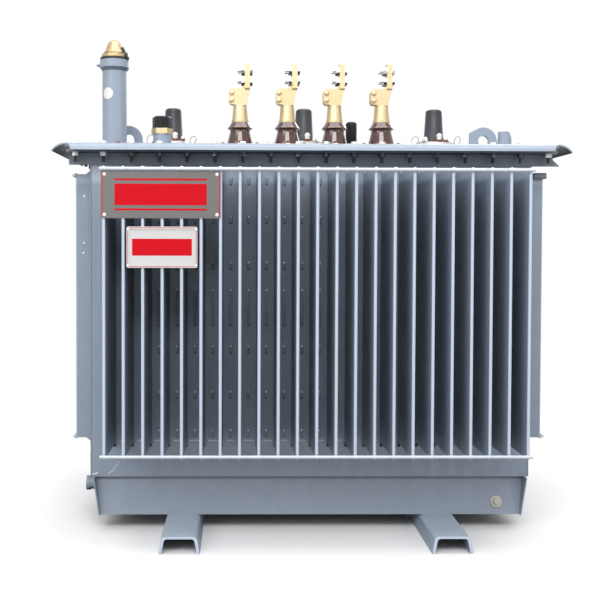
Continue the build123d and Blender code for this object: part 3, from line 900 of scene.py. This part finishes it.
def clamp_screws():
    """Two round heads on each side of each clamp."""
    bm = bmesh.new()
    screw = lathed([(0, 0), (0.0082, 0), (0.0082, 0.0035), (0.0070, 0.0052), (0.0040, 0.0062),
                    (0, 0.0065)], 24)
    for x in LV_PLACES:
        for dz in (-CLAMP_BOLT_PITCH / 2, CLAMP_BOLT_PITCH / 2):
            for side, flip in ((1, 0), (-1, 180)):
                place = at(x + CLAMP_BOLT_X, LV_Y - side * CLAMP_DEPTH / 2, CLAMP_BOLT_Z + dz)
                insert(bm, screw, place @ turn(90, "X") @ turn(flip, "X"))
    finish_piece("clamp_screws", bm, BRASS)


def hold_downs():
    """Claws, studs and rusty nuts that hold each porcelain foot on the lid."""
    claws = bmesh.new()
    nuts = bmesh.new()
    claw = block(CLAW, 0.0015)
    washer = disc(STUD_WASHER_R, STUD_WASHER_H, 20)
    nut = hexagon(STUD_NUT_ACROSS, STUD_NUT_H)
    thread = threaded_end(STUD_R, STUD_END, STUD_PITCH)
    claw_height = CLAW[2]
    for x in LV_PLACES:
        for angle in (0, 90, 180, 270):
            place = at(x, LV_Y, LID_TOP) @ turn(angle)
            insert(claws, claw, place @ at(CLAW_REACH, 0, claw_height / 2))
            insert(nuts, washer, place @ at(STUD_REACH, 0, claw_height))
            insert(nuts, nut, place @ at(STUD_REACH, 0, claw_height + STUD_WASHER_H))
            insert(nuts, thread, place @ at(STUD_REACH, 0, STUD_TOP))
    finish_piece("porcelain_claws", claws, ZINC)
    finish_piece("porcelain_nuts", nuts, RUST)


# High-voltage bushings

HV_Y = centre("hv_bushing_1").y
HV_PLACES = [centre(f"hv_bushing_{i + 1}").x for i in range(HV_COUNT)]
HV_LOW, HV_HIGH = span("hv_bushing_1")
HV_FOOT_R = 0.038
HV_TOP_R = 0.029
FLANGE_CROWN_H = 0.006
FLANGE_TOP = span("hv_flanges")[1].z - FLANGE_CROWN_H
FLANGE_NUT_REACH = 0.053
FLANGE_NUT_ACROSS = 0.017
FLANGE_NUT_H = 0.009
FLANGE_NUT_SUNK = 0.001
FLANGE_WASHER_R = 0.0115
FLANGE_WASHER_H = 0.003
FLANGE_CAP_Z = 0.008
SEALED_STUD_REACH = 0.056
SEALED_STUD_ANGLE = -80
SEALED_NUT_ACROSS = 0.020
SEALED_NUT_H = 0.010
SEAL_WIRE_R = 0.0010
SEAL_WIRE_LAP = 1.04
# How far each loop of seal wire stands to the side of its cone, and its width
SEAL_LOOPS = [(-0.084, 0.026), (0.074, 0.022)]
SEAL_LOOP_HEIGHTS = (0.026, 0.034)
SEAL_LOOP_OUT = 0.056
SEAL_LOOP_DROP = 0.010
SEAL_LOOP_LEAN = 0.1
# A lead's bends: their share of the loop's way to the side, and their rise above the flange
SEAL_LEAD = [(0.6, 0.002), (0.2, 0.008)]
SEAL_LEAD_OUT = 0.060


def hv_cones():
    """Smooth cones with a soft shoulder, on their seats."""
    height = HV_HIGH.z - HV_LOW.z
    outline = [(0, 0), (HV_FOOT_R - 0.001, 0), (HV_FOOT_R, 0.001), (HV_FOOT_R, 0.006),
               (HV_FOOT_R - 0.0015, 0.0075), (HV_TOP_R + 0.0012, height - 0.012)]
    outline += arc(HV_TOP_R - 0.0085, height - 0.011, 0.0095, 5, 88, 7)
    outline += [(0.010, height), (0, height)]
    for i, x in enumerate(HV_PLACES):
        bm = lathed(outline, 56)
        bmesh.ops.translate(bm, vec=(x, HV_Y, HV_LOW.z), verts=bm.verts)
        piece = finish_piece(f"cone_{i + 1}", bm, RESIN, 50)
        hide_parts(f"hv_bushing_{i + 1}")


def flange_nuts():
    """Capped nuts on each flange on rusty washers, and a taller sealed stud in front."""
    caps = bmesh.new()
    rusty = bmesh.new()
    washer = disc(FLANGE_WASHER_R, FLANGE_WASHER_H, 20)
    nut = hexagon(FLANGE_NUT_ACROSS, FLANGE_NUT_H)
    cap = domed([(0.008, 0), (0.008, 0.007)], 20)
    tall_cap = domed([(0.0090, 0), (0.0090, 0.010), (0.0105, 0.0105), (0.0105, 0.013)], 24)
    for i, x in enumerate(HV_PLACES):
        for angle in (45, 135, 225, 315):
            place = at(x, HV_Y, FLANGE_TOP - FLANGE_NUT_SUNK) @ turn(angle) @ at(FLANGE_NUT_REACH, 0, 0)
            insert(rusty, washer, place)
            gone_red = i != 1 and angle in (135, 315)
            insert(rusty if gone_red else caps, nut, place @ at(0, 0, FLANGE_WASHER_H))
            insert(caps, cap, place @ at(0, 0, FLANGE_CAP_Z))
        stud = at(x, HV_Y, FLANGE_TOP) @ turn(SEALED_STUD_ANGLE) @ at(SEALED_STUD_REACH, 0, 0)
        insert(rusty, hexagon(SEALED_NUT_ACROSS, SEALED_NUT_H), stud)
        insert(caps, tall_cap, stud @ at(0, 0, SEALED_NUT_H))
    finish_piece("flange_cap_nuts", caps, ZINC)
    finish_piece("flange_washers", rusty, RUST)


def wire(points):
    """A thin wire through some points."""
    bm = bmesh.new()
    for start, end in zip(points, points[1:]):
        start, end = Vector(start), Vector(end)
        along = end - start
        place = Matrix.Translation((start + end) / 2) @ along.to_track_quat("Z", "Y").to_matrix().to_4x4()
        bmesh.ops.create_cone(bm, cap_ends=True, segments=6, radius1=SEAL_WIRE_R, radius2=SEAL_WIRE_R,
                              depth=along.length * SEAL_WIRE_LAP, matrix=place)
    return bm


def loop(x, y, z, width, height, steps=14):
    """Points of a loop of wire standing on the flange, leaning a little."""
    points = []
    for i in range(steps + 1):
        angle = math.tau * i / steps
        rise = height * (1 - math.cos(angle))
        points.append((x + width / 2 * math.sin(angle) + SEAL_LOOP_LEAN * rise, y, z + rise / 2))
    return points


def seal_wires():
    """Two loops of thin wire beside each cone, each with a lead to its stud."""
    bm = bmesh.new()
    for x in HV_PLACES:
        for side, width in SEAL_LOOPS:
            height = chance.uniform(*SEAL_LOOP_HEIGHTS)
            points = loop(x + side, HV_Y - SEAL_LOOP_OUT, FLANGE_TOP - SEAL_LOOP_DROP, width, height)
            lead = [(x + side * share, HV_Y - SEAL_LEAD_OUT, FLANGE_TOP + rise) for share, rise in SEAL_LEAD]
            insert(bm, wire(points), Matrix.Identity(4))
            insert(bm, wire([points[0], *lead]), Matrix.Identity(4))
    finish_piece("seal_wires", bm, DULL)


# Filler tube

CAP_LOW, CAP_HIGH = span("filler_cap")
TUBE_AXIS = (centre("filler_cap").x, centre("filler_tube").y)
TUBE_R = 0.042
TUBE_FOOT_H = 0.012
FOOT_BOLT_REACH = 0.052
FOOT_BOLT_ACROSS = 0.014
FOOT_BOLT_H = 0.005
FOOT_BOLT_TOP = 0.009
STRAP_HALF = 0.006
STRAP_THICK = 0.0036
STRAP_ANGLE = -22
STICKER_R = 0.020
STICKER_RISE = 0.187
STICKER_ANGLE = -117


def filler_cap():
    """A brass ring with a bell on it, in a darker copy of the brass: painted shade."""
    ring = [(0, 0), (0.0430, 0), (0.0440, 0.001), (0.0440, 0.0110), (0.0430, 0.0120), (0.0330, 0.0120)]
    bell = [(0.0330, 0.0152), (0.0378, 0.0160), (0.0374, 0.0175), (0.0345, 0.0215), (0.0318, 0.0265),
            (0.0290, 0.0330), (0.0268, 0.0395), (0.0243, 0.0460), (0.0210, 0.0515), (0.0165, 0.0565),
            (0.0110, 0.0600), (0.0055, 0.0616), (0, CAP_HIGH.z - CAP_LOW.z)]
    bm = lathed(ring + bell, 56)
    bmesh.ops.translate(bm, vec=(*TUBE_AXIS, CAP_LOW.z), verts=bm.verts)
    piece = finish_piece("brass_cap", bm, CAP_BRASS, 40)
    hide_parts("filler_cap")


def cap_strap():
    """The black strap that hangs down the bell's side."""
    path = [(0.0505, -0.010), (0.0500, -0.0005), (0.0455, 0.0010), (0.0455, 0.0130), (0.0425, 0.0155),
            (0.0395, 0.0170), (0.0378, 0.0195), (0.0352, 0.0240), (0.0324, 0.0290), (0.0298, 0.0345)]
    bm = bmesh.new()
    stations = []
    for r, z in path:
        outer_r, outer_z = r + STRAP_THICK, z + 0.002
        corners = [(r, -STRAP_HALF, z), (r, STRAP_HALF, z), (outer_r, STRAP_HALF, outer_z),
                   (outer_r, -STRAP_HALF, outer_z)]
        stations.append([bm.verts.new(corner) for corner in corners])
    for one, two in zip(stations, stations[1:]):
        for i in range(4):
            bm.faces.new((one[i], one[(i + 1) % 4], two[(i + 1) % 4], two[i]))
    bm.faces.new(stations[0])
    bm.faces.new(stations[-1][::-1])
    bmesh.ops.transform(bm, matrix=at(*TUBE_AXIS, CAP_LOW.z) @ turn(STRAP_ANGLE), verts=bm.verts)
    finish_piece("cap_strap", bm, BLACK, 60)


def tube_sticker():
    """A plain white disc that follows the tube's curve."""
    bm = bmesh.new()
    bmesh.ops.create_grid(bm, x_segments=16, y_segments=16, size=1.0)
    reach = TUBE_R + 0.0005
    for vert in bm.verts:
        x, y = vert.co.x, vert.co.y
        across = x * math.sqrt(1 - y * y / 2) * STICKER_R
        up = y * math.sqrt(1 - x * x / 2) * STICKER_R
        angle = math.radians(STICKER_ANGLE) + across / reach
        vert.co = Vector((TUBE_AXIS[0] + reach * math.cos(angle), TUBE_AXIS[1] + reach * math.sin(angle),
                          LID_TOP + STICKER_RISE + up))
    finish_piece("plain_sticker", bm, STICKER, 60)


def foot_bolts():
    """Rusty bolts on the filler tube's foot flange."""
    bm = bmesh.new()
    for angle in (20, 110, 200, 290):
        place = at(*TUBE_AXIS, LID_TOP + TUBE_FOOT_H) @ turn(angle) @ at(FOOT_BOLT_REACH, 0, 0)
        insert(bm, disc(STUD_WASHER_R, STUD_WASHER_H, 20), place)
        insert(bm, hexagon(FOOT_BOLT_ACROSS, FOOT_BOLT_H), place @ at(0, 0, STUD_WASHER_H))
        insert(bm, threaded_end(STUD_R, STUD_END, STUD_PITCH), place @ at(0, 0, FOOT_BOLT_TOP))
    finish_piece("tube_foot_bolts", bm, RUST)


# Tap changer

TAP_GROOVES = 12
TAP_GROOVE_DEPTH = 0.05
TAP_GROOVES_FROM = 0.036


def tap_knob():
    """A black hand knob with finger grooves on a round base."""
    low, high = span("tap_changer")
    middle = (low + high) / 2
    height = high.z - low.z
    outline = [(0, 0), (0.0295, 0), (0.030, 0.0015), (0.030, 0.018), (0.027, 0.021), (0.022, 0.022),
               (0.0185, 0.026), (0.0185, 0.034), (0.020, 0.038), (0.020, height - 0.012)]
    outline += arc(0.010, height - 0.010, 0.010, 8, 88, 6) + [(0, height)]
    bm = lathed(outline, 48)
    for vert in bm.verts:
        if vert.co.z > TAP_GROOVES_FROM:
            angle = math.atan2(vert.co.y, vert.co.x)
            groove = 1 - TAP_GROOVE_DEPTH * (0.5 + 0.5 * math.cos(TAP_GROOVES * angle))
            vert.co.x *= groove
            vert.co.y *= groove
    bmesh.ops.translate(bm, vec=(middle.x, middle.y, low.z), verts=bm.verts)
    piece = finish_piece("tap_knob", bm, BLACK, 50)
    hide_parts("tap_changer")


# Plates on the fins

MARK_THICK = 0.0008
LARGE_LOW, LARGE_HIGH = span("rating_plate")
LARGE_BAR_H = 0.066
LARGE_LINE_H = 0.006
LARGE_LINE_RISE = 0.046
LARGE_BAR_SHARE = 0.77
LARGE_EDGE_W = 0.0025
LARGE_EDGE_INSET = 0.004
LARGE_EDGE_GAP = 0.012
LARGE_SCREW_INSET = 0.011
SMALL_LOW, SMALL_HIGH = span("small_plate")
SMALL_BAR = (0.184, 0.052)
SMALL_RIM_T = 0.002
SMALL_BORDER_W = 0.0016
SMALL_BORDER_INSET = 0.0035
SMALL_BORDER_GAP = 0.008
SMALL_RIVET_R = 0.0025
SMALL_RIVET_INSET = 0.0045
SMALL_RIVET_RISE = 0.055


def mark(bm, x, y, z, width, height):
    """Adds a flat bar on the front of a plate."""
    insert(bm, block((width, MARK_THICK, height), 0.0003, 1), at(x, y, z))


def large_plate_marks():
    """A plain red bar between two lines and two upright edges."""
    middle = (LARGE_LOW + LARGE_HIGH) / 2
    width, height = LARGE_HIGH.x - LARGE_LOW.x, LARGE_HIGH.z - LARGE_LOW.z
    face = LARGE_LOW.y
    bar = width * LARGE_BAR_SHARE
    bm = bmesh.new()
    for side in (-1, 1):
        edge = middle.x + side * (width / 2 - LARGE_EDGE_INSET)
        mark(bm, edge, face, middle.z, LARGE_EDGE_W, height - LARGE_EDGE_GAP)
        mark(bm, middle.x, face, middle.z + side * LARGE_LINE_RISE, bar, LARGE_LINE_H)
    mark(bm, middle.x, face, middle.z, bar, LARGE_BAR_H)
    finish_piece("large_plate_marks", bm, RED)


def small_plate_marks():
    """A plain red bar inside a thin red border."""
    middle = (SMALL_LOW + SMALL_HIGH) / 2
    half_w = (SMALL_HIGH.x - SMALL_LOW.x) / 2 - SMALL_BORDER_INSET
    half_h = (SMALL_HIGH.z - SMALL_LOW.z) / 2 - SMALL_BORDER_INSET
    face = SMALL_LOW.y
    bm = bmesh.new()
    mark(bm, middle.x, face + SMALL_RIM_T, middle.z, *SMALL_BAR)
    for side in (-1, 1):
        mark(bm, middle.x, face, middle.z + side * half_h, half_w * 2 - SMALL_BORDER_GAP, SMALL_BORDER_W)
        mark(bm, middle.x + side * half_w, face, middle.z, SMALL_BORDER_W, half_h * 2 - SMALL_BORDER_GAP)
    finish_piece("small_plate_marks", bm, RED)


def plate_screws():
    """Slightly hollow screw heads on the large plate's corners and flat rivets on the small one's."""
    bm = bmesh.new()
    dome = lathed([(0, 0), (0.0052, 0), (0.0052, 0.0006), (0.0040, 0.0020), (0.0020, 0.0026),
                   (0, 0.0014)], 20)
    rivet = disc(SMALL_RIVET_R, MARK_THICK, 16)
    large = (LARGE_LOW + LARGE_HIGH) / 2
    small = (SMALL_LOW + SMALL_HIGH) / 2
    large_x = (LARGE_HIGH.x - LARGE_LOW.x) / 2 - LARGE_SCREW_INSET
    large_z = (LARGE_HIGH.z - LARGE_LOW.z) / 2 - LARGE_SCREW_INSET
    small_x = (SMALL_HIGH.x - SMALL_LOW.x) / 2 - SMALL_RIVET_INSET
    for sx in (-1, 1):
        for sz in (-1, 1):
            screw_at = at(large.x + sx * large_x, LARGE_LOW.y, large.z + sz * large_z)
            rivet_at = at(small.x + sx * small_x, SMALL_LOW.y, small.z + sz * SMALL_RIVET_RISE)
            insert(bm, dome, screw_at @ turn(90, "X"))
            insert(bm, rivet, rivet_at @ turn(90, "X"))
    finish_piece("plate_screws", bm, BRIGHT_STEEL_AND_GLINT)


lid_bolts()
wall_pressings()
side_bar_ends()
tank_welds()
fold_welds()
rod_welds()
for i, x in enumerate(LV_PLACES):
    lv_porcelain(i, x)
flag_bolts()
clamp_screws()
hold_downs()
hv_cones()
flange_nuts()
seal_wires()
filler_cap()
cap_strap()
tube_sticker()
foot_bolts()
tap_knob()
large_plate_marks()
small_plate_marks()
plate_screws()


# Floor, light and camera

FLOOR_REACH = 30.0
FLOOR_FADE = (1.1, 3.4)
FLOOR_LIT = (0.40, 0.40, 0.40)
FLOOR_SEEN = (0.93, 0.93, 0.93)
SKY_LIGHT = 0.50
AIM = (0, 0, 0.8)


def floor():
    """A plain pale floor that keeps the shadow and shows white to the camera."""
    material, tree, shader, place = start_finish("pale_floor")
    path = add(tree, "ShaderNodeLightPath")
    tint = blend_colour(tree, path.outputs["Is Camera Ray"], FLOOR_LIT, FLOOR_SEEN)
    tree.links.new(tint, shader.inputs["Base Color"])
    shader.inputs["Roughness"].default_value = 0.9
    away = add(tree, "ShaderNodeVectorMath", {0: place}, operation="LENGTH").outputs["Value"]
    near, far = FLOOR_FADE
    fade = add(tree, "ShaderNodeMapRange", {"Value": away, "From Min": near, "From Max": far},
               interpolation_type="SMOOTHSTEP").outputs[0]
    clear = add(tree, "ShaderNodeBsdfTransparent").outputs[0]
    mix = add(tree, "ShaderNodeMixShader", {0: fade, 1: shader.outputs[0], 2: clear})
    output = next(node for node in tree.nodes if node.type == "OUTPUT_MATERIAL")
    tree.links.new(mix.outputs[0], output.inputs["Surface"])
    bm = bmesh.new()
    bmesh.ops.create_grid(bm, x_segments=2, y_segments=2, size=FLOOR_REACH)
    mesh = bpy.data.meshes.new("floor")
    bm.to_mesh(mesh)
    bm.free()
    mesh.materials.append(material)
    obj = bpy.data.objects.new("floor", mesh)
    bpy.context.scene.collection.objects.link(obj)


def sky():
    """Soft white surroundings: dimmer as light than as backdrop."""
    world = bpy.data.worlds.new("soft_white")
    bpy.context.scene.world = world
    world.use_nodes = True
    tree = world.node_tree
    tree.nodes.clear()
    path = add(tree, "ShaderNodeLightPath").outputs
    seen = maths(tree, "MAXIMUM", path["Is Camera Ray"], path["Is Glossy Ray"])
    seen = maths(tree, "MAXIMUM", seen, path["Is Transmission Ray"])
    strength = ranged(tree, seen, 0.0, 1.0, SKY_LIGHT, 1.0)
    light = add(tree, "ShaderNodeBackground", {"Color": (1, 1, 1, 1), "Strength": strength})
    add(tree, "ShaderNodeOutputWorld", {"Surface": light.outputs[0]})


def lamp(name, place, size, power):
    """A flat lamp of some width and height, pointed at the middle of the tank."""
    data = bpy.data.lights.new(name, "AREA")
    data.shape = "RECTANGLE"
    data.size, data.size_y = size
    data.energy = power
    obj = bpy.data.objects.new(name, data)
    obj.location = place
    obj.rotation_euler = (Vector(AIM) - Vector(place)).to_track_quat("-Z", "Y").to_euler()
    bpy.context.scene.collection.objects.link(obj)


def lights():
    """Large soft lamps above and around, strongest from the front."""
    lamp("overhead", (0, -0.6, 4.6), (4.0, 3.0), 130)
    lamp("front_above", (-0.3, -5.4, 4.8), (4.0, 2.2), 230)
    lamp("front_left", (-3.2, -4.2, 3.0), (2.6, 2.6), 76)
    lamp("front_right", (3.4, -3.6, 2.2), (2.2, 2.2), 20)
    lamp("back", (1.5, 4.2, 3.4), (3.0, 2.4), 70)


# The camera's place, turn and lens, fitted to corners and edges of the photograph by least squares
IMAGE_PX = 600
SENSOR_MM = 36.0
CAMERA_PLACE = (-0.2457, -3.3582, 0.9674)
CAMERA_YAW = 0.781
CAMERA_PITCH = 1.474
CAMERA_ROLL = 0.167
FOCAL_PX = 926.8
AXIS_PX = (250.7, 267.3)


def camera():
    """The camera that sees what the photograph shows."""
    data = bpy.data.cameras.new("camera")
    data.sensor_width = SENSOR_MM
    data.lens = FOCAL_PX / IMAGE_PX * SENSOR_MM
    data.shift_x = (IMAGE_PX / 2 - AXIS_PX[0]) / IMAGE_PX
    data.shift_y = (AXIS_PX[1] - IMAGE_PX / 2) / IMAGE_PX
    obj = bpy.data.objects.new("camera", data)
    turns = turn(-CAMERA_YAW) @ turn(90 - CAMERA_PITCH, "X") @ turn(CAMERA_ROLL)
    obj.matrix_world = Matrix.Translation(CAMERA_PLACE) @ turns
    bpy.context.scene.collection.objects.link(obj)
    bpy.context.scene.camera = obj


floor()
sky()
lights()
camera()
bpy.context.scene.view_settings.view_transform = "Standard"
